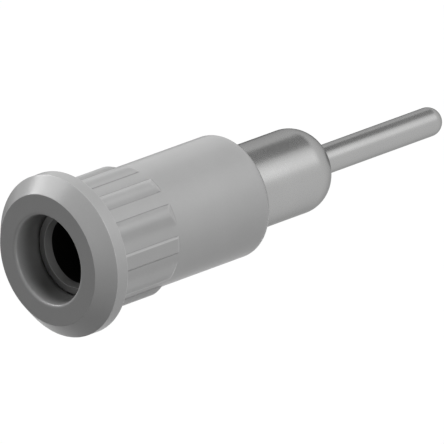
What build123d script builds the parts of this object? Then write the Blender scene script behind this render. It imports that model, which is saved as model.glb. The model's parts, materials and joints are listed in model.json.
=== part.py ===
import math
import os

from build123d import *

# Banana socket for 4 mm plugs, pressed into a round panel hole from the front. All sizes in millimetres.
# The origin is the centre of the flange's seating face, where it meets the panel. The socket's axis is Y:
# the mouth looks towards -Y, the solder pin points towards +Y, and +Z is up.

# Insulating sleeve, lengths along the axis
flange_diameter = 10.0
flange_thickness = 1.8
rim_bevel_width = 0.95  # radial width of the bevel round the front rim
rim_bevel_length = 0.95
sleeve_diameter = 7.6
sleeve_length = 13.2  # from the seating face to the rear end
rear_edge_radius = 0.5
mouth_diameter = 5.5
mouth_edge_radius = 0.3
mouth_relief = 0.35  # the mouth runs on this far behind the contact's front face, as a narrow gap round it

# Press-in ribs, round beads that run back from the flange
ribs_per_quarter = 3
rib_radius = 0.6
rib_height = 0.275  # crest above the sleeve
rib_length = 4.95
rib_run_out_angle = 30  # of the sloped rear end, from the axis
parting_rib_height = 0.08  # the two ribs on the mould's parting line are cut flat, this far above the sleeve

# Contact, turned in one piece
contact_diameter = 5.25
contact_length = 20.4  # front face to the foot of the pin, along the axis
contact_recess = 1.87  # front face behind the flange's front face
shoulder_radius = 2.0
plug_bore_diameter = 4.1
plug_bore_depth = 17.5  # front face to the end of the straight bore
lead_in_diameter = 4.4
lead_in_length = 0.5
drill_point_angle = 118
pin_diameter = 1.8
pin_length = 10.5  # foot of the pin to its tip

# Holding groove round the contact, which a bead inside the sleeve snaps into
groove_depth = 0.2
groove_width = 1.2
groove_place = 8.0  # front face of the contact to the groove's middle
contact_clearance = 0.01  # between the contact and the sleeve, on every side

flange_radius = flange_diameter / 2
sleeve_radius = sleeve_diameter / 2
mouth_radius = mouth_diameter / 2
contact_radius = contact_diameter / 2
bore_radius = plug_bore_diameter / 2
lead_in_radius = lead_in_diameter / 2
pin_radius = pin_diameter / 2

front_face = -flange_thickness
contact_front = front_face + contact_recess
mouth_end = contact_front + mouth_relief
groove_middle = contact_front + groove_place
grip_radius = contact_radius + contact_clearance
bead_radius = grip_radius - groove_depth
bead_half_width = groove_width / 2 - contact_clearance

crest_radius = sleeve_radius + rib_height
rib_centre_radius = crest_radius - rib_radius
rib_root_radius = (sleeve_radius + mouth_radius) / 2  # inside the sleeve's wall
rib_run_out_length = (crest_radius - rib_root_radius) / math.tan(math.radians(rib_run_out_angle))
rib_pitch = 90 / ribs_per_quarter
flat_half_distance = sleeve_radius + parting_rib_height

# The room that the ribs may fill: a ring that starts inside the flange and slopes down at its rear end.
with BuildPart() as rib_room:
    with BuildSketch(Plane.XY):
        with BuildLine():
            Polyline(
                (rib_root_radius, front_face / 2),
                (crest_radius, front_face / 2),
                (crest_radius, rib_length),
                (rib_root_radius, rib_length + rib_run_out_length),
                close=True,
            )
        make_face()
    revolve(axis=Axis.Y)

# Ribs: beads all round, one at the top and one on each side. The mould opens up and down, so each bead's
# side that would catch in it drops straight to the sleeve, and the two on the parting line are cut flat.
with BuildPart() as press_ribs:
    with BuildSketch(Plane.XZ.offset(-front_face)):
        with PolarLocations(rib_centre_radius, 4 * ribs_per_quarter):
            Circle(rib_radius)
        for step in range(1, ribs_per_quarter):
            angle = math.radians(step * rib_pitch)
            centre_x = rib_centre_radius * math.cos(angle)
            centre_z = rib_centre_radius * math.sin(angle)
            drop = centre_z / 2
            with GridLocations(2 * centre_x + rib_radius, 2 * centre_z - drop, 2, 2):
                Rectangle(rib_radius, drop)
    extrude(amount=-(flange_thickness + rib_length + rib_run_out_length))
    add(rib_room.part, mode=Mode.INTERSECT)
    Box(2 * flat_half_distance, 4 * sleeve_length, flange_diameter, mode=Mode.INTERSECT)

# Insulating sleeve: its half section is turned about the axis, and the ribs are added.
with BuildPart() as insulating_sleeve:
    with BuildSketch(Plane.XY) as sleeve_section:
        with BuildLine():
            Polyline(
                (mouth_radius, front_face),
                (flange_radius - rim_bevel_width, front_face),
                (flange_radius, front_face + rim_bevel_length),
                (flange_radius, 0),
                (sleeve_radius, 0),
                (sleeve_radius, sleeve_length),
                (grip_radius, sleeve_length),
                (grip_radius, groove_middle + bead_half_width),
                (bead_radius, groove_middle + bead_half_width),
                (bead_radius, groove_middle - bead_half_width),
                (grip_radius, groove_middle - bead_half_width),
                (grip_radius, mouth_end),
                (mouth_radius, mouth_end),
                close=True,
            )
        make_face()
        section_corners = sleeve_section.vertices()
        rear_corner = section_corners.sort_by(Axis.Y)[-2:].sort_by(Axis.X)[-1]
        mouth_corner = section_corners.sort_by(Axis.Y)[:2].sort_by(Axis.X)[0]
        fillet(rear_corner, radius=rear_edge_radius)
        fillet(mouth_corner, radius=mouth_edge_radius)
    revolve(axis=Axis.Y)
    add(press_ribs.part)

# Contact: a tube with a drilled plug bore, a domed shoulder and a round pin with a half-round tip.
shoulder_centre_radius = contact_radius - shoulder_radius
shoulder_reach = math.sqrt(shoulder_radius**2 - (pin_radius - shoulder_centre_radius) ** 2)
shoulder_sweep = math.degrees(math.acos((pin_radius - shoulder_centre_radius) / shoulder_radius))
pin_foot = contact_front + contact_length
shoulder_start = pin_foot - shoulder_reach
pin_tip = pin_foot + pin_length
bore_end = contact_front + plug_bore_depth
drill_point = bore_end + bore_radius / math.tan(math.radians(drill_point_angle / 2))

with BuildPart() as contact_socket:
    with BuildSketch(Plane.XY):
        with BuildLine():
            Polyline(
                (0, pin_tip),
                (0, drill_point),
                (bore_radius, bore_end),
                (bore_radius, contact_front + lead_in_length),
                (lead_in_radius, contact_front),
                (contact_radius, contact_front),
                (contact_radius, groove_middle - groove_width / 2),
                (contact_radius - groove_depth, groove_middle - groove_width / 2),
                (contact_radius - groove_depth, groove_middle + groove_width / 2),
                (contact_radius, groove_middle + groove_width / 2),
                (contact_radius, shoulder_start),
            )
            CenterArc((shoulder_centre_radius, shoulder_start), shoulder_radius, 0, shoulder_sweep)
            Line((pin_radius, pin_foot), (pin_radius, pin_tip - pin_radius))
            CenterArc((0, pin_tip - pin_radius), pin_radius, 0, 90)
        make_face()
    revolve(axis=Axis.Y)

os.makedirs("parts", exist_ok=True)
insulating_sleeve.part.label = "insulating_sleeve"
export_step(insulating_sleeve.part, "parts/insulating_sleeve.step")
contact_socket.part.label = "contact_socket"
export_step(contact_socket.part, "parts/contact_socket.step")
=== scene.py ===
# Banana socket: the finished surfaces of its sleeve and its contact, a studio stage and the camera.
# All lengths are in metres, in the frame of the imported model: the socket's axis is Y, its mouth looks
# towards -Y, and the flange's seating face lies at Y = 0.
import json
import math

import bpy
import numpy as np
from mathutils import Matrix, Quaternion, Vector


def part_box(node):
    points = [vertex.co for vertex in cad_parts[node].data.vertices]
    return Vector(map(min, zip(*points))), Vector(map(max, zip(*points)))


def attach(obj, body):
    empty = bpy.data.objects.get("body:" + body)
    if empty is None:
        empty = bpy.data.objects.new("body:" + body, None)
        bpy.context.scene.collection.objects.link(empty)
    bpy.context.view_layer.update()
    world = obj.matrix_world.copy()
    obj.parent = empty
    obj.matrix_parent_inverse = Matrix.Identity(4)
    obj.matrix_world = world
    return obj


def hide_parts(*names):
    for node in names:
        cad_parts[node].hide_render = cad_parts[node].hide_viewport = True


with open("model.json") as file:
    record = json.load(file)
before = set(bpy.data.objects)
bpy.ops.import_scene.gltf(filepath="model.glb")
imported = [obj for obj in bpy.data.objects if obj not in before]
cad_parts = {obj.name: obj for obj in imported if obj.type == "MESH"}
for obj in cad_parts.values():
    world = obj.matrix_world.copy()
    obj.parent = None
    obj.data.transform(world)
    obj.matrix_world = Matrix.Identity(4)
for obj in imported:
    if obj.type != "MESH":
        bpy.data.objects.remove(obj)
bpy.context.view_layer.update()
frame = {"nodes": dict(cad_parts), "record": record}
print("frame loaded:", sorted(frame["nodes"]))

mm = 0.001
tiny = 1e-6  # keeps a division by an angle or a share of 0 from failing
mountDims = {mount["name"]: mount["dims"] for mount in frame["record"]["mounts"]}
sleeveLow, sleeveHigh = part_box("insulating_sleeve")
contactLow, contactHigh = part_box("contact_socket")


# Surfaces turned about the socket's axis

def roundedLine(corners, arcSteps, closed=False):
    # A line of (y, r) points with rounded corners, each given as (y, r, rounding). A corner's arc starts and
    # ends at rounding / tan(half its angle) from it, about a centre at rounding / sin(half its angle) along
    # its bisector. One more point on each side of an arc, at 0.4 of its rounding, keeps the straight
    # stretches flat when shaded. An open line starts and ends in its first and last corner.
    place = np.array([corner[:2] for corner in corners])
    rounding = np.array([[corner[2]] for corner in corners])
    before = np.roll(place, 1, axis=0) - place
    after = np.roll(place, -1, axis=0) - place
    before /= np.linalg.norm(before, axis=1, keepdims=True)
    after /= np.linalg.norm(after, axis=1, keepdims=True)
    half = np.arccos(np.clip((before * after).sum(1, keepdims=True), -1, 1)) / 2
    reach = rounding / np.tan(half)
    bisector = before + after
    bisector /= np.maximum(np.linalg.norm(bisector, axis=1, keepdims=True), tiny)
    centre = place + bisector * rounding / np.sin(half)
    start, end = place + before * reach, place + after * reach
    share = np.linspace(0, 1, arcSteps)[None, :, None]
    sweep = np.maximum(math.pi - 2 * half, tiny)[:, None, :]
    swing = (np.sin((1 - share) * sweep) * (start - centre)[:, None]
             + np.sin(share * sweep) * (end - centre)[:, None]) / np.sin(sweep)
    hold = 0.4 * rounding
    line = np.concatenate([(start + before * hold)[:, None], centre[:, None] + swing,
                           (end + after * hold)[:, None]], axis=1).reshape(-1, 2)
    if not closed:
        line = line[arcSteps + 1:-arcSteps - 1]
    apart = np.linalg.norm(np.diff(line, axis=0), axis=1) > tiny * mm  # drops repeated points
    return line[np.concatenate([[True], apart])]


def ringPoints(levels, radius):
    # (y, r) points of rings of one radius, at these levels along the axis.
    return np.stack([levels, np.full_like(levels, radius)], axis=-1)


def columnAngles(columns):
    return np.arange(columns) * 2 * math.pi / columns


def outwardBend(middle, before, after, normal):
    # How sharply a line turns away from the normal at its middle point, as 1 / radius, below 0 in a hollow:
    # for each neighbour, the fall of the step against the normal over the step's length squared, then added.
    bend = 0
    for neighbour in (before, after):
        step = neighbour - middle
        bend = bend - (step * normal).sum(-1) / (step**2).sum(-1)
    return bend


def giveValues(piece, name, values):
    piece.data.attributes.new(name, "FLOAT", "POINT").data.foreach_set("value", values)


def turnedPiece(name, along, radius, closed):
    # A grid turned about Y: column c stands at the angle 2 pi c / columns from +X towards +Z, and its points
    # are (radius cos(angle), along, radius sin(angle)). A closed line joins its last row to its first. An
    # open one starts and ends on the axis, each time in one point with a fan of triangles round it. Each
    # point carries its bend, the one along its row plus the one along its column, per millimetre.
    columns = radius.shape[1]
    angle = columnAngles(columns)
    level = np.broadcast_to(along[:, None], radius.shape)
    grid = np.stack([radius * np.cos(angle), level, radius * np.sin(angle)], axis=-1)
    rows = grid if closed else grid[1:-1]
    rowBefore = np.roll(grid, 1, axis=0) if closed else grid[:-2]
    rowAfter = np.roll(grid, -1, axis=0) if closed else grid[2:]
    sideBefore, sideAfter = np.roll(rows, 1, axis=1), np.roll(rows, -1, axis=1)
    normal = np.cross(rowAfter - rowBefore, sideAfter - sideBefore)
    normal /= np.linalg.norm(normal, axis=-1, keepdims=True)
    bend = outwardBend(rows, rowBefore, rowAfter, normal)
    bend = (bend + outwardBend(rows, sideBefore, sideAfter, normal)).ravel() * mm
    index = np.arange(rows.shape[0] * columns).reshape(-1, columns)
    near, far = (index, np.roll(index, -1, axis=0)) if closed else (index[:-1], index[1:])
    quads = np.stack([near, far, np.roll(far, -1, axis=1), np.roll(near, -1, axis=1)], axis=-1)
    points, faces = rows.reshape(-1, 3), quads.reshape(-1, 4).tolist()
    if not closed:
        firstPole, lastPole = np.full((2, columns), [[len(points)], [len(points) + 1]])
        points = np.concatenate([points, grid[[0, -1], 0]])
        bend = np.append(bend, [0, 0])
        faces += np.stack([firstPole, index[0], np.roll(index[0], -1)], axis=-1).tolist()
        faces += np.stack([index[-1], lastPole, np.roll(index[-1], -1)], axis=-1).tolist()
    mesh = bpy.data.meshes.new(name)
    mesh.from_pydata(points, [], faces)
    mesh.polygons.foreach_set("use_smooth", np.ones(len(mesh.polygons), bool))
    mesh.update()
    piece = bpy.data.objects.new(name, mesh)
    bpy.context.scene.collection.objects.link(piece)
    giveValues(piece, "bend", bend)
    print("made", name, "with", len(mesh.polygons), "faces")
    return piece


def smoothMin(a, b, blend):
    # The smaller of a and b, with a parabola across the crossing where they are less than blend apart.
    share = np.clip(0.5 + 0.5 * (b - a) / blend, 0, 1)
    return b + (a - b) * share - blend * share * (1 - share)


# Insulating sleeve

sleeve = {
    "front": sleeveLow.y,
    "rear": sleeveHigh.y,
    "flangeRadius": sleeveHigh.z,
    "bevelWidth": 0.95 * mm,
    "bevelLength": 0.95 * mm,
    "barrelRadius": 3.8 * mm,
    "mouthRadius": 2.75 * mm,
    "gripRadius": 2.635 * mm,      # the bore that holds the contact
    "beadDepth": 0.2 * mm,         # the snap bead inside it
    "beadMiddle": 8.07 * mm,
    "beadHalfWidth": 0.59 * mm,
    "mouthRounding": 0.18 * mm,
    "rearRounding": 0.5 * mm,
    "edgeRounding": 0.045 * mm,
    "reliefDepth": 0.35 * mm,      # of the narrow gap round the contact's front edge
    "shadeDepths": (0.05, 0.5, 0.65, 1.0),  # shares of the mouth's depth, and how much painted shade its wall takes there
    "shadeLevels": (0.0, 1.0, 1.0, 0.0),
    "rimShadePlaces": (0.0, 0.13, 0.5, 0.8),     # shares of the rear rounding, and how much painted shade it takes there
    "rimShadeLevels": (0.0, 0.9, 0.9, 0.0),
    "arcSteps": 7,
    "ribSpan": (0.1, 0.98),        # shares of the ribs' length between which rings cross them
    "ribRings": 6,
    "runOutRings": 18,             # on their sloped ends, set back a little
    "runOutShift": 0.02 * mm,
    "barrelRings": 8,              # behind them, the first one this far
    "barrelShift": 0.1 * mm,
    "mouthRings": 8,
    "columns": 600,
}

ribs = {
    "perQuarter": 3,
    "radius": 0.6 * mm,
    "crestRadius": 4.075 * mm,
    "length": 4.95 * mm,
    "runOut": math.radians(30),    # of the sloped rear end, from the axis
    "flatHalfDistance": 3.88 * mm,  # the two ribs on the parting line are cut flat here
    "edgeBlend": 0.03 * mm,
    "rootBlend": 0.07 * mm,
    "runOutBlend": 0.06 * mm,      # at the top of the sloped rear end
    "footBlend": 0.025 * mm,       # at its foot
    "footReach": 0.2 * mm,         # length over which rootBlend gives way to footBlend
}


def ribRise(angle, along):
    # Height of the ribs above the barrel. Each rib is a circle about a centre on its own radius, met by the
    # ray at this angle at b + sqrt(b^2 - centre^2 + radius^2), where b is the centre's share along the ray.
    # On the side nearer the parting plane a rib drops straight down, where r = (centre x + radius) / ray x.
    # The highest of these holds, as far as the flat cut at half distance / ray x and the sloped end at
    # crest - tan(run-out) (y - length) let it, and the barrel below it.
    barrel = sleeve["barrelRadius"]
    centreRadius = ribs["crestRadius"] - ribs["radius"]
    rayX, rayZ = np.abs(np.cos(angle)), np.abs(np.sin(angle))
    reach = np.zeros_like(angle)
    for step in range(ribs["perQuarter"] + 1):
        place = step * math.pi / 2 / ribs["perQuarter"]
        centreX, centreZ = centreRadius * math.cos(place), centreRadius * math.sin(place)
        share = rayX * centreX + rayZ * centreZ
        inside = share**2 - centreRadius**2 + ribs["radius"]**2
        reach = np.maximum(reach, np.where(inside > 0, share + np.sqrt(np.maximum(inside, 0)), 0))
        if 0 < step < ribs["perQuarter"]:
            wall = (centreX + ribs["radius"]) / np.maximum(rayX, tiny)
            reach = np.maximum(reach, np.where(wall * rayZ < centreZ, wall, 0))
    reach = smoothMin(reach, ribs["flatHalfDistance"] / np.maximum(rayX, tiny), ribs["edgeBlend"])
    slope = ribs["crestRadius"] - math.tan(ribs["runOut"]) * (along - ribs["length"])
    reach = smoothMin(reach[None, :], slope[:, None], ribs["runOutBlend"])
    footEnds = (ribs["length"], ribs["length"] + ribs["footReach"])
    blend = np.interp(along, footEnds, (ribs["rootBlend"], ribs["footBlend"]))
    return -smoothMin(-reach, -barrel, blend[:, None]) - barrel


def makeSleeve():
    # A closed line turned about the axis. On the barrel the ribs' rise is added to its radius, and on the
    # flange's back face a share of it, which falls to 0 at the rim, so that the face closes round the ribs.
    v = sleeve
    edge, barrel, grip = v["edgeRounding"], v["barrelRadius"], v["gripRadius"]
    bead = grip - v["beadDepth"]
    beadFront, beadRear = v["beadMiddle"] - v["beadHalfWidth"], v["beadMiddle"] + v["beadHalfWidth"]
    relief = contactLow.y + v["reliefDepth"]
    line = roundedLine([
        (v["front"], v["mouthRadius"], v["mouthRounding"]),
        (v["front"], v["flangeRadius"] - v["bevelWidth"], edge),
        (v["front"] + v["bevelLength"], v["flangeRadius"], edge),
        (0, v["flangeRadius"], edge),
        (0, barrel, edge),
        (v["rear"], barrel, v["rearRounding"]),
        (v["rear"], grip, edge),
        (beadRear, grip, edge),
        (beadRear, bead, edge),
        (beadFront, bead, edge),
        (beadFront, grip, edge),
        (relief, grip, edge / 2),
        (relief, v["mouthRadius"], edge / 2),
    ], v["arcSteps"], closed=True)
    # The barrel, which is the longest straight stretch, and the mouth's wall get more rings.
    barrelStart = np.argmax(np.linalg.norm(np.diff(line, axis=0), axis=1))
    runOutEnd = ribs["length"] + (ribs["crestRadius"] - barrel) / math.tan(ribs["runOut"])
    barrelLevels = np.concatenate([
        np.linspace(*v["ribSpan"], v["ribRings"]) * ribs["length"],
        np.linspace(ribs["length"], runOutEnd, v["runOutRings"]) + v["runOutShift"],
        np.linspace(runOutEnd + v["barrelShift"], v["rear"] - 2 * v["rearRounding"], v["barrelRings"]),
    ])
    mouthLevels = np.linspace(relief - 2 * edge, v["front"] + 2 * v["mouthRounding"], v["mouthRings"])
    line = np.insert(line, barrelStart + 1, ringPoints(barrelLevels, barrel), axis=0)
    line = np.concatenate([line, ringPoints(mouthLevels, v["mouthRadius"])])
    along, profile = line.T
    outside = (along > -edge / 2) & (profile > (barrel + grip) / 2)
    share = np.clip((v["flangeRadius"] - profile) / (v["flangeRadius"] - barrel), 0, 1) * outside
    radius = profile[:, None] + share[:, None] * ribRise(columnAngles(v["columns"]), along)
    piece = turnedPiece("sleeve_moulding", along, radius, closed=True)
    # Painted shade on the mouth's wall, by its depth, which is 0 at the mouth's edge and 1 at the contact's
    # front face, and painted shade on the rear edge, by the distance from the rear end in shares of its
    # rounding.
    depth = (along - v["front"]) / (contactLow.y - v["front"])
    mouth = np.interp(depth, v["shadeDepths"], v["shadeLevels"]) * (profile < v["mouthRadius"] + edge)
    fromRear = (v["rear"] - along) / v["rearRounding"]
    rim = np.interp(fromRear, v["rimShadePlaces"], v["rimShadeLevels"]) * (profile > barrel - v["rearRounding"])
    giveValues(piece, "shade", np.repeat(np.maximum(mouth, rim), v["columns"]))
    return piece


# Contact

contact = {
    "front": contactLow.y,
    "tip": contactHigh.y,
    "radius": contactHigh.z,
    "boreRadius": mountDims["plug_bore"]["r_mm"] * mm,
    "boreDepth": 17.5 * mm,
    "leadInRadius": 2.2 * mm,
    "leadInLength": 0.5 * mm,
    "leadInRounding": 0.012 * mm,
    "drillPoint": math.radians(118),
    "grooveDepth": 0.2 * mm,
    "grooveMiddle": 8.07 * mm,
    "grooveHalfWidth": 0.6 * mm,
    "shoulderRadius": 2.0 * mm,
    "pinRadius": mountDims["solder_pin"]["r_mm"] * mm,
    "pinLength": 10.5 * mm,
    "footRounding": 0.05 * mm,
    "footTurn": 0.05,              # radians of the shoulder's arc that make room for the foot's rounding
    "edgeRounding": 0.04 * mm,
    "boreCutShade": 1.0,               # how rough the metal is inside and how much painted shade it takes, from 0 to 1
    "leadInDull": 0.05,            # from this level up the metal is rough, as cut
    "frontCutShade": 0.6,
    "boreMargin": 0.003 * mm,      # a point this close to the bore's radius is in the bore,
    "frontMargin": 0.01 * mm,      # and one this close to the front end on the front face
    "arcSteps": 6,
    "shoulderHold": 0.1 * mm,      # a ring this far in front of the shoulder keeps the barrel straight
    "shoulderSteps": 26,
    "footSteps": 16,
    "tipSteps": 20,
    "columns": 288,
}


def makeContact():
    # An open line turned about the axis: the tube, the shoulder's arc about the point (shoulder start,
    # outer radius - shoulder radius), the pin, and a quarter circle of the pin's own radius for its tip.
    v = contact
    edge, outer, thin = v["edgeRounding"], v["radius"], v["pinRadius"]
    boreEnd = v["front"] + v["boreDepth"]
    drillEnd = boreEnd + v["boreRadius"] / math.tan(v["drillPoint"] / 2)
    grooveFloor = outer - v["grooveDepth"]
    grooveFront = v["grooveMiddle"] - v["grooveHalfWidth"]
    grooveRear = v["grooveMiddle"] + v["grooveHalfWidth"]
    shoulderCentre = outer - v["shoulderRadius"]
    footAngle = math.acos((thin - shoulderCentre) / v["shoulderRadius"])
    foot = v["tip"] - v["pinLength"]
    shoulderStart = foot - v["shoulderRadius"] * math.sin(footAngle)
    tube = roundedLine([
        (drillEnd, 0, 0),
        (boreEnd, v["boreRadius"], edge),
        (v["front"] + v["leadInLength"], v["boreRadius"], edge),
        (v["front"], v["leadInRadius"], v["leadInRounding"]),
        (v["front"], outer, edge),
        (grooveFront, outer, edge),
        (grooveFront, grooveFloor, edge),
        (grooveRear, grooveFloor, edge),
        (grooveRear, outer, edge),
        (shoulderStart, outer, 0),
    ], v["arcSteps"])
    hold = ringPoints(np.array([shoulderStart - v["shoulderHold"]]), outer)
    turn = np.linspace(0, footAngle - v["footTurn"], v["shoulderSteps"])
    shoulder = np.stack([shoulderStart + v["shoulderRadius"] * np.sin(turn),
                         shoulderCentre + v["shoulderRadius"] * np.cos(turn)], axis=-1)
    pin = roundedLine([
        (*shoulder[-1], 0),
        (foot, thin, v["footRounding"]),
        (v["tip"] - thin, thin, 0),
    ], v["footSteps"])
    turn = np.linspace(0, math.pi / 2, v["tipSteps"])
    halfRound = np.stack([v["tip"] - thin * (1 - np.sin(turn)), thin * np.cos(turn)], axis=-1)
    along, profile = np.concatenate([tube[:-1], hold, shoulder[:-1], pin[:-1], halfRound]).T
    radius = np.repeat(profile[:, None], v["columns"], axis=1)
    piece = turnedPiece("contact_turning", along, radius, closed=False)
    # How rough the metal is, by where the tool cut it, and how much painted shade darkens it: in the bore,
    # in its lead-in, on the front face, and 0 on the rest. The piece's first pole is the drill's point, and
    # its second the pin's tip.
    inside = along < drillEnd
    inBore = inside & (profile < v["boreRadius"] + v["boreMargin"])
    inLeadIn = inside & (profile < v["leadInRadius"])
    onFront = along < v["front"] + v["frontMargin"]
    cutAndShade = np.select([inBore, inLeadIn, onFront], [v["boreCutShade"], v["leadInDull"], v["frontCutShade"]], 0.0)
    giveValues(piece, "cutAndShade", np.append(np.repeat(cutAndShade[1:-1], v["columns"]), [v["boreCutShade"], 0.0]))
    return piece


# Materials: parts of shader trees

def newNode(tree, kind, settings=None, **values):
    # Settings are the node's own properties. A value is an input's level, or a link where it is a socket. A
    # name such as in3 stands for the input's number, and other names have underscores instead of spaces.
    node = tree.nodes.new(kind)
    for key, value in (settings or {}).items():
        setattr(node, key, value)
    for key, value in values.items():
        numbered = key.startswith("in") and key[2:].isdigit()
        socket = node.inputs[int(key[2:]) if numbered else key.replace("_", " ")]
        if isinstance(value, bpy.types.NodeSocket):
            tree.links.new(value, socket)
        else:
            socket.default_value = value
    return node


def reckon(tree, operation, *values):
    numbered = {"in" + str(number): value for number, value in enumerate(values)}
    return newNode(tree, "ShaderNodeMath", {"operation": operation}, **numbered).outputs[0]


def spread(tree, value, span, low, high):
    # Takes the values of a span, from its start to its end, to values between low and high.
    node = newNode(tree, "ShaderNodeMapRange", in0=value, in1=span[0], in2=span[1], in3=low, in4=high)
    return node.outputs[0]


def blendValues(tree, share, first, second):
    mix = newNode(tree, "ShaderNodeMix", {"data_type": "FLOAT"}, in0=share, in2=first, in3=second)
    return mix.outputs[0]


def blendColours(tree, share, first, second):
    mix = newNode(tree, "ShaderNodeMix", {"data_type": "RGBA"}, in0=share, in6=first, in7=second)
    return mix.outputs[2]


def noise(tree, vector, scale, detail):
    return newNode(tree, "ShaderNodeTexNoise", Vector=vector, Scale=scale, Detail=detail).outputs["Fac"]


def bump(tree, depth, height, **under):
    return newNode(tree, "ShaderNodeBump", Strength=1.0, Distance=depth, Height=height, **under).outputs[0]


def pointValue(tree, name):
    return newNode(tree, "ShaderNodeAttribute", {"attribute_name": name}).outputs["Fac"]


def grey(level):
    return (level, level, level, 1)


def newMaterial(name):
    material = bpy.data.materials.new(name)
    material.use_nodes = True
    material.node_tree.nodes.clear()
    return material, material.node_tree


# Materials: shader groups

patterns = {
    "patchDetail": 3.0,
    "grainDetail": 2.0,
    "breakup": (0.25, 0.6),        # span of the mask over which an edge's painted highlight grows to its full level
    "breakupLow": 0.4,             # from this share of it
    "lineDetail": 3.0,
    "lineRoughness": 0.6,
}


def newGroup(name, takes, gives):
    # A shader group. Takes and gives list its inputs and outputs as (name, kind).
    tree = bpy.data.node_groups.new(name, "ShaderNodeTree")
    for label, kind in takes:
        tree.interface.new_socket(label, in_out="INPUT", socket_type="NodeSocket" + kind)
    for label, kind in gives:
        tree.interface.new_socket(label, in_out="OUTPUT", socket_type="NodeSocket" + kind)
    start, end = tree.nodes.new("NodeGroupInput"), tree.nodes.new("NodeGroupOutput")
    return tree, start.outputs, end.inputs


def makeCloudGroup():
    # Soft uneven patches with a finer grain over them, as a mask from 0 to 1 about one half.
    takes = [("Vector", "Vector"), ("Patches", "Float"), ("Grain", "Float"), ("Grain share", "Float")]
    tree, given, result = newGroup("cloudy", takes, [("Mask", "Float")])
    patches = noise(tree, given["Vector"], given["Patches"], patterns["patchDetail"])
    grain = noise(tree, given["Vector"], given["Grain"], patterns["grainDetail"])
    tree.links.new(blendValues(tree, given["Grain share"], patches, grain), result["Mask"])
    return tree


def makeBendGroup():
    # Where the surface bends between two limits, from 0 to 1, broken up by a mask: outer edges with limits
    # above 0, for a painted highlight, and hollows with limits below, for a painted shade.
    takes = [("Bend", "Float"), ("From", "Float"), ("To", "Float"), ("Breakup", "Float")]
    tree, given, result = newGroup("bend_highlight_shade", takes, [("Mask", "Float")])
    bent = spread(tree, given["Bend"], (given["From"], given["To"]), 0, 1)
    kept = spread(tree, given["Breakup"], patterns["breakup"], patterns["breakupLow"], 1)
    tree.links.new(reckon(tree, "MULTIPLY", bent, kept), result["Mask"])
    return tree


def makeTurningGroup():
    # Fine lines round the axis, as a lathe leaves them: they change with the distance along the axis plus
    # the distance from it, so that they run round barrels and in rings on end faces.
    takes = [("Vector", "Vector"), ("Lines", "Float")]
    tree, given, result = newGroup("turning_lines", takes, [("Height", "Float")])
    part = newNode(tree, "ShaderNodeSeparateXYZ", in0=given["Vector"])
    across = newNode(tree, "ShaderNodeCombineXYZ", in0=part.outputs["X"], in2=part.outputs["Z"])
    radius = newNode(tree, "ShaderNodeVectorMath", {"operation": "LENGTH"}, in0=across.outputs[0])
    way = reckon(tree, "ADD", part.outputs["Y"], radius.outputs["Value"])
    lines = newNode(tree, "ShaderNodeTexNoise", {"noise_dimensions": "1D"}, W=way, Scale=given["Lines"],
                    Detail=patterns["lineDetail"], Roughness=patterns["lineRoughness"])
    tree.links.new(lines.outputs["Fac"], result["Height"])
    return tree


cloudGroup = makeCloudGroup()
bendGroup = makeBendGroup()
turningGroup = makeTurningGroup()


def placeGroup(tree, group, **values):
    return newNode(tree, "ShaderNodeGroup", {"node_tree": group}, **values).outputs[0]


def placeCloud(tree, spot, v):
    return placeGroup(tree, cloudGroup, Vector=spot, Patches=v["patches"], Grain=v["grain"],
                      Grain_share=v["grainShare"])


def placeBend(tree, limits, breakup):
    return placeGroup(tree, bendGroup, Bend=pointValue(tree, "bend"), From=limits[0], To=limits[1],
                      Breakup=breakup)


# Materials: plastic and metal

sleeveFinish = {
    "darker": grey(0.338),
    "lighter": grey(0.362),
    # Outer edges take a painted highlight.
    "edge": grey(0.42),
    "edgeHighlightBend": (3.0, 16.0),       # limits of the bend over which an edge takes its painted highlight colour
    "hollow": grey(0.22),          # painted shade beside the ribs, behind the flange, in the mouth, round the rear edge
    "hollowBend": (-2.0, -10.0),
    "roughness": (0.28, 0.32),
    "sheen": 0.45,                 # level of the plain gloss
    "patches": 450.0,
    "grain": 9000.0,               # per metre, so that a grain is about 0.1 mm wide
    "grainShare": 0.35,
    "cloudSpan": (0.3, 0.7),       # values of the mask between the darker and the lighter colour
    "grainDepth": 0.0012 * mm,
    "mouldLines": 4000.0,          # faint rings from the turned mould
    "mouldLineDepth": 0.0006 * mm,
}

contactFinish = {
    "darker": (0.365, 0.365, 0.363, 1),
    "lighter": (0.38, 0.38, 0.378, 1),
    # Outer edges take a painted highlight.
    "edge": (0.43, 0.43, 0.428, 1),
    "edgeHighlightBend": (3.0, 16.0),
    "rim": grey(0.5),              # of the mirroring at a flat angle
    "roughness": (0.25, 0.285),
    "cutRoughness": 0.5,           # in the bore and its lead-in, and on the front face
    "cutAndShade": (0.03, 0.029, 0.028, 1),  # painted shade in the bore and, more lightly, on the front face
    "patches": 350.0,
    "grain": 5000.0,
    "grainShare": 0.25,
    "cloudSpan": (0.3, 0.7),
    "lines": 9000.0,
    "lineShare": 0.4,              # of the lines in the roughness, added to the patches
    "roughSpan": (0.5, 0.9),       # values of that sum between the two roughnesses
    "lineDepth": 0.0003 * mm,
}


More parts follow.
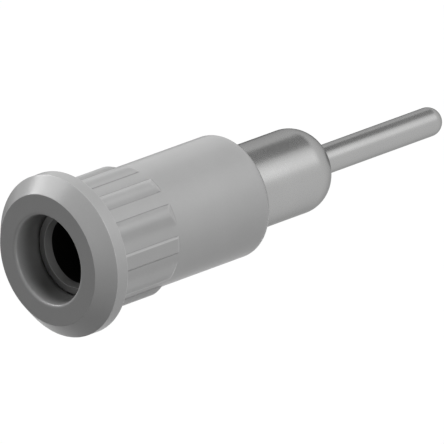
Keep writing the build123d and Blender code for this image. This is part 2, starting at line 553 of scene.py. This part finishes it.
def makePlastic():
    v = sleeveFinish
    material, tree = newMaterial("moulded_grey")
    spot = newNode(tree, "ShaderNodeTexCoord").outputs["Object"]
    cloud = placeCloud(tree, spot, v)
    rings = placeGroup(tree, turningGroup, Vector=spot, Lines=v["mouldLines"])
    grain = noise(tree, spot, v["grain"], patterns["grainDetail"])
    # Painted highlight on outer edges, broken up by the cloud mask.
    edge = placeBend(tree, v["edgeHighlightBend"], cloud)
    # Painted shade in hollows, and by the shade values in the mouth and round the rear edge.
    hollow = placeBend(tree, v["hollowBend"], 1.0)
    shaded = reckon(tree, "MAXIMUM", hollow, pointValue(tree, "shade"))
    body = blendColours(tree, spread(tree, cloud, v["cloudSpan"], 0, 1), v["darker"], v["lighter"])
    colour = blendColours(tree, shaded, blendColours(tree, edge, body, v["edge"]), v["hollow"])
    relief = bump(tree, v["mouldLineDepth"], rings, Normal=bump(tree, v["grainDepth"], grain))
    shader = newNode(tree, "ShaderNodeBsdfPrincipled", Base_Color=colour, Specular_IOR_Level=v["sheen"],
                     Roughness=spread(tree, cloud, v["cloudSpan"], *v["roughness"]), Normal=relief)
    newNode(tree, "ShaderNodeOutputMaterial", Surface=shader.outputs[0])
    return material


def makeNickel():
    v = contactFinish
    material, tree = newMaterial("nickel_plate")
    spot = newNode(tree, "ShaderNodeTexCoord").outputs["Object"]
    cloud = placeCloud(tree, spot, v)
    lines = placeGroup(tree, turningGroup, Vector=spot, Lines=v["lines"])
    # Painted highlight on outer edges, broken up by the cloud mask.
    edge = placeBend(tree, v["edgeHighlightBend"], cloud)
    # Painted shade in the bore and on the front face, where the metal is also rougher as cut.
    cutAndShade = pointValue(tree, "cutAndShade")
    body = blendColours(tree, spread(tree, cloud, v["cloudSpan"], 0, 1), v["darker"], v["lighter"])
    colour = blendColours(tree, cutAndShade, blendColours(tree, edge, body, v["edge"]), v["cutAndShade"])
    uneven = reckon(tree, "MULTIPLY_ADD", lines, v["lineShare"], cloud)
    turned = spread(tree, uneven, v["roughSpan"], *v["roughness"])
    cut = spread(tree, cutAndShade, (0, contact["leadInDull"]), 0, 1)
    shader = newNode(tree, "ShaderNodeBsdfPrincipled", Base_Color=colour, Metallic=1.0,
                     Specular_Tint=v["rim"], Roughness=blendValues(tree, cut, turned, v["cutRoughness"]),
                     Normal=bump(tree, v["lineDepth"], lines))
    newNode(tree, "ShaderNodeOutputMaterial", Surface=shader.outputs[0])
    return material


# Stage, lights and camera

panels = {
    # Directions are seen from the socket, in degrees, and level is a panel's brightness.
    "left_panel": {"azimuth": -85.0, "elevation": 30.0, "width": 0.7, "height": 0.7, "level": 9.7},
    "front_panel": {"azimuth": -62.0, "elevation": 45.0, "width": 1.05, "height": 0.7, "level": 5.5},
    "low_panel": {"azimuth": 80.0, "elevation": 5.0, "width": 0.7, "height": 0.44, "level": 10.2},
    "side_panel": {"azimuth": 80.0, "elevation": 35.0, "width": 0.7, "height": 0.44, "level": 6.6},
    "right_panel": {"azimuth": 110.0, "elevation": 40.0, "width": 0.7, "height": 0.7, "level": 12.3},
    "top_panel": {"azimuth": 0.0, "elevation": 90.0, "width": 0.7, "height": 0.7, "level": 9.0},
}

cards = {
    # Long cards beside the axis that only show in the gloss of the metal and the plastic: dark above,
    # light at the upper right, and dark at the lower left, close to the socket. Around is a card's reach
    # round the axis, in degrees from +X towards +Z, and along its reach beside it, in shares of its
    # distance.
    "dark_card": {"around": (77, 124), "along": (-0.2, 1.1), "distance": 2.5, "level": 0.28},
    "light_card": {"around": (24, 66), "along": (0.6, 1.18), "distance": 2.5, "level": 1.29},
    "low_card": {"around": (180, 212), "along": (0.2, 2.0), "distance": 0.1, "level": 0.09},
}

stage = {
    "distance": 2.0,               # of the panels from the socket
    "floorDrop": 60 * mm,          # the floor lies this far below the flange
    "floorSize": 6.0,
    "floorGrey": 0.1,
    "floorGlow": 0.9,
    "surround": 0.01,              # what the room adds all round
}

camera = {
    "azimuth": 45.75,
    "elevation": 20.86,
    "roll": 0.92,
    "lens": 1600,
    "sensor": 36,
    "clip": (0.1, 10),
    "frameWidth": 26.49 * mm,      # across the picture at the socket's axis
    "aimAlong": 12.03 * mm,        # the picture's middle, along the axis
    "aimBelow": 1.413 * mm,        # and below it
}


def direction(azimuth, elevation):
    # The unit vector from the socket. Azimuth 0 is in front of the mouth, 90 to the right at +X.
    a, e = math.radians(azimuth), math.radians(elevation)
    return Vector((math.sin(a) * math.cos(e), -math.cos(a) * math.cos(e), math.sin(e)))


def makePanels():
    # The energy makes a panel's brightness its level, whatever its size.
    for name, v in panels.items():
        light = bpy.data.lights.new(name, "AREA")
        light.shape = "RECTANGLE"
        light.size, light.size_y = v["width"], v["height"]
        light.energy = v["level"] * math.pi * v["width"] * v["height"]
        lamp = bpy.data.objects.new(name, light)
        towards = direction(v["azimuth"], v["elevation"])
        lamp.location = towards * stage["distance"]
        lamp.rotation_mode = "QUATERNION"
        lamp.rotation_quaternion = towards.to_track_quat("Z", "Y")
        lamp.visible_camera = False
        bpy.context.scene.collection.objects.link(lamp)


def backgroundRays(tree):
    # 1 for the rays that show the white background: those from the camera, and those that metal, gloss and
    # glass send.
    path = newNode(tree, "ShaderNodeLightPath").outputs
    mirrored = reckon(tree, "MAXIMUM", path["Is Glossy Ray"], path["Is Transmission Ray"])
    return reckon(tree, "MAXIMUM", mirrored, path["Is Camera Ray"])


def flatSheet(name, centre, right, up, material):
    corners = [centre - right - up, centre + right - up, centre + right + up, centre - right + up]
    mesh = bpy.data.meshes.new(name)
    mesh.from_pydata(corners, [], [(0, 1, 2, 3)])
    mesh.materials.append(material)
    sheet = bpy.data.objects.new(name, mesh)
    bpy.context.scene.collection.objects.link(sheet)
    return sheet


def makeFloor():
    # White to the rays that show the background, less where the socket's shadow falls, and open from below.
    v = stage
    material, tree = newMaterial("pale_floor")
    material.cycles.emission_sampling = "NONE"
    matt = newNode(tree, "ShaderNodeBsdfDiffuse", Color=grey(v["floorGrey"]))
    glow = reckon(tree, "MULTIPLY", backgroundRays(tree), v["floorGlow"])
    white = newNode(tree, "ShaderNodeEmission", Color=grey(1), Strength=glow)
    both = newNode(tree, "ShaderNodeAddShader", in0=matt.outputs[0], in1=white.outputs[0])
    clear = newNode(tree, "ShaderNodeBsdfTransparent")
    side = newNode(tree, "ShaderNodeNewGeometry").outputs["Backfacing"]
    mix = newNode(tree, "ShaderNodeMixShader", in0=side, in1=both.outputs[0], in2=clear.outputs[0])
    newNode(tree, "ShaderNodeOutputMaterial", Surface=mix.outputs[0])
    half = v["floorSize"] / 2
    level = Vector((0, 0, sleeveLow.z - v["floorDrop"]))
    flatSheet("floor", level, Vector((half, 0, 0)), Vector((0, half, 0)), material)


def makeCards():
    # A card stands square to the direction halfway round its reach, at its distance from the axis.
    for name, v in cards.items():
        material, tree = newMaterial(name)
        material.cycles.emission_sampling = "NONE"
        glow = newNode(tree, "ShaderNodeEmission", Color=grey(v["level"]), Strength=1.0)
        newNode(tree, "ShaderNodeOutputMaterial", Surface=glow.outputs[0])
        away = v["distance"]
        middle = math.radians(sum(v["around"]) / 2)
        halfWidth = math.tan(math.radians(v["around"][1] - v["around"][0]) / 2) * away
        near, far = (share * away for share in v["along"])
        centre = Vector((math.cos(middle) * away, (near + far) / 2, math.sin(middle) * away))
        across = Vector((-math.sin(middle), 0, math.cos(middle))) * halfWidth
        card = flatSheet(name, centre, across, Vector((0, (far - near) / 2, 0)), material)
        card.visible_camera = card.visible_diffuse = card.visible_transmission = card.visible_shadow = False


def makeWorld():
    # White to the rays that show the background, and nearly dark to the rest.
    world = bpy.data.worlds.new("studio")
    bpy.context.scene.world = world
    world.use_nodes = True
    world.cycles.sampling_method = "NONE"
    tree = world.node_tree
    tree.nodes.clear()
    room = newNode(tree, "ShaderNodeBackground", Color=grey(stage["surround"]), Strength=1.0)
    white = newNode(tree, "ShaderNodeBackground", Color=grey(1), Strength=1.0)
    mix = newNode(tree, "ShaderNodeMixShader", in0=backgroundRays(tree), in1=room.outputs[0],
                  in2=white.outputs[0])
    newNode(tree, "ShaderNodeOutputWorld", Surface=mix.outputs[0])


def makeCamera():
    v = camera
    towards = direction(v["azimuth"], v["elevation"])
    turn = towards.to_track_quat("Z", "Y") @ Quaternion((0, 0, 1), -math.radians(v["roll"]))
    right, up = turn @ Vector((1, 0, 0)), turn @ Vector((0, 1, 0))
    below = (right * up.y - up * right.y) / math.hypot(right.y, up.y)
    aim = Vector((0, v["aimAlong"], 0)) + below * v["aimBelow"]
    data = bpy.data.cameras.new("camera")
    data.lens, data.sensor_width = v["lens"], v["sensor"]
    data.clip_start, data.clip_end = v["clip"]
    eye = bpy.data.objects.new("camera", data)
    eye.rotation_mode = "QUATERNION"
    eye.location = aim + towards * v["lens"] * v["frameWidth"] / v["sensor"]
    eye.rotation_quaternion = turn
    bpy.context.scene.collection.objects.link(eye)
    bpy.context.scene.camera = eye


sleeveMoulding = makeSleeve()
contactTurning = makeContact()
for piece, node, slot, material in (
    (sleeveMoulding, "insulating_sleeve", "sleeve_plastic", makePlastic()),
    (contactTurning, "contact_socket", "contact_metal", makeNickel()),
):
    piece.data.materials.append(material)
    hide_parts(node)
    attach(piece, "root")
print("pieces dressed")

makeCamera()
makePanels()
makeFloor()
makeCards()
makeWorld()
bpy.context.scene.view_settings.view_transform = "Standard"
print("stage set")
